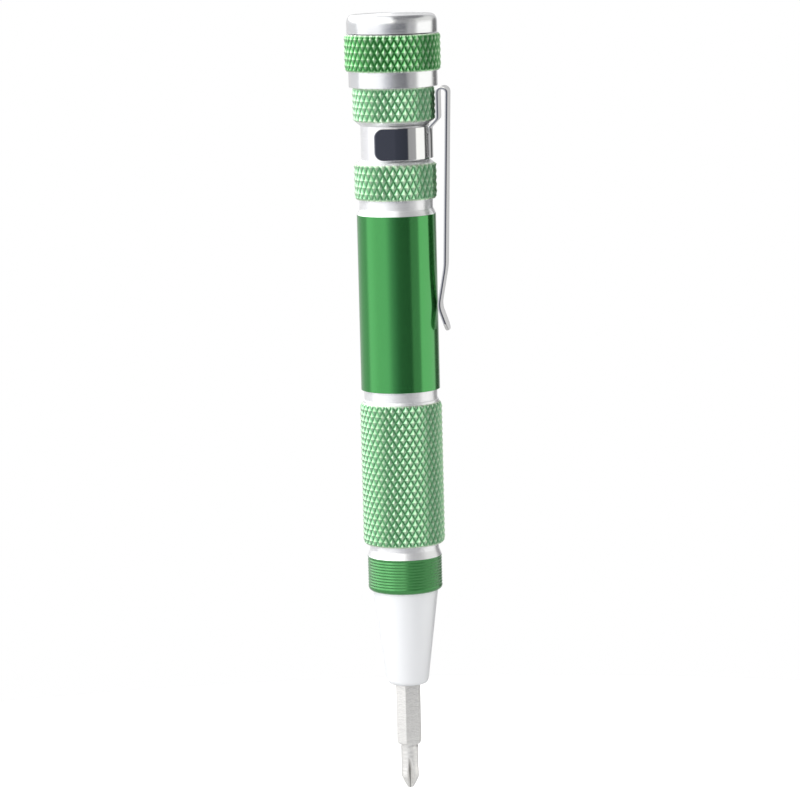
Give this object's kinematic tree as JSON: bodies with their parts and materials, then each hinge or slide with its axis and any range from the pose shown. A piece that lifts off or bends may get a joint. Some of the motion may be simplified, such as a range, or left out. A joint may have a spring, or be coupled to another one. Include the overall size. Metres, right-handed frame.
{
  "type": "pocket screwdriver",
  "caption": "Pen-shaped pocket screwdriver with a knurled aluminium handle, pocket clip, swivelling cap, magnetic bit socket and a rack of spare bits in the handle.",
  "frame": {"origin": "tip of the bit in use, on the handle's axis", "axes": "+Z along the handle's axis from the bit's tip to the cap, +X towards the arm of the pocket clip"},
  "size_m": [0.0183, 0.017, 0.1387],
  "materials": {
    "green_anodised": "green anodised aluminium, glossy on the tube and knurled on the grip and rings, with bright turned grooves",
    "satin_aluminium": "fine satin",
    "bright_aluminium": "bright turned",
    "spring_steel": "polished nickel plate on spring steel",
    "bit_steel": "satin nickel plate",
    "sleeve_steel": "machined",
    "plated_magnet": "nickel plated magnet",
    "brass_plug": "turned",
    "black_rubber": "moulded",
    "rack_plastic": "fine moulded",
    "white_nylon": "moulded"
  },
  "bodies": {
    "handle": {"handle_barrel": "green_anodised", "nose_cone": "satin_aluminium", "hex_sleeve": "sleeve_steel", "socket_magnet": "plated_magnet", "magnet_plug": "brass_plug", "rack_cushion": "black_rubber"},
    "bit": {"driver_bit": "bit_steel"},
    "clip": {"clip_band": "spring_steel"},
    "clip_spring": {"clip_arm": "spring_steel"},
    "rack": {"bit_rack": "rack_plastic", "spare_slot_narrow": "bit_steel", "spare_slot_middle": "bit_steel", "spare_slot_wide": "bit_steel", "spare_cross_small": "bit_steel", "spare_cross_large": "bit_steel"},
    "stud": {"draw_stud": "sleeve_steel"},
    "cap": {"end_cap": "green_anodised", "stud_retainer": "white_nylon", "cap_oring": "black_rubber"},
    "dome": {"swivel_dome": "bright_aluminium", "dome_pin": "sleeve_steel", "pin_clip": "sleeve_steel", "dome_washer": "white_nylon"}
  },
  "joints": [
    {"name": "bit_pull", "type": "slide", "parent": "handle", "child": "bit", "axis": [0, 0, -1], "range_m": [0, 0.012]},
    {"name": "clip_swivel", "type": "hinge", "parent": "handle", "child": "clip", "pos_m": [0, 0, 0.11607], "axis": [0, 0, 1], "continuous": true},
    {"name": "clip_flex", "type": "hinge", "parent": "clip", "child": "clip_spring", "pos_m": [0.00872, 0, 0.12575], "axis": [0, -1, 0], "range_deg": [0, 6], "stiffness_Nm_per_rad": 0.5},
    {"name": "rack_draw", "type": "slide", "parent": "handle", "child": "rack", "axis": [0, 0, 1], "range_m": [0, 0.072]},
    {"name": "thread_lift", "type": "slide", "parent": "rack", "child": "stud", "axis": [0, 0, 1], "range_m": [0, 0.004]},
    {"name": "cap_turn", "type": "hinge", "parent": "stud", "child": "cap", "pos_m": [0, 0, 0.1208], "axis": [0, 0, 1], "range_deg": [0, 1800]},
    {"name": "dome_spin", "type": "hinge", "parent": "cap", "child": "dome", "pos_m": [0, 0, 0.1351], "axis": [0, 0, 1], "continuous": true}
  ],
  "couplings": [
    {"joint": "thread_lift", "follows": "cap_turn", "m_per_rad": 0.00012732}
  ]
}
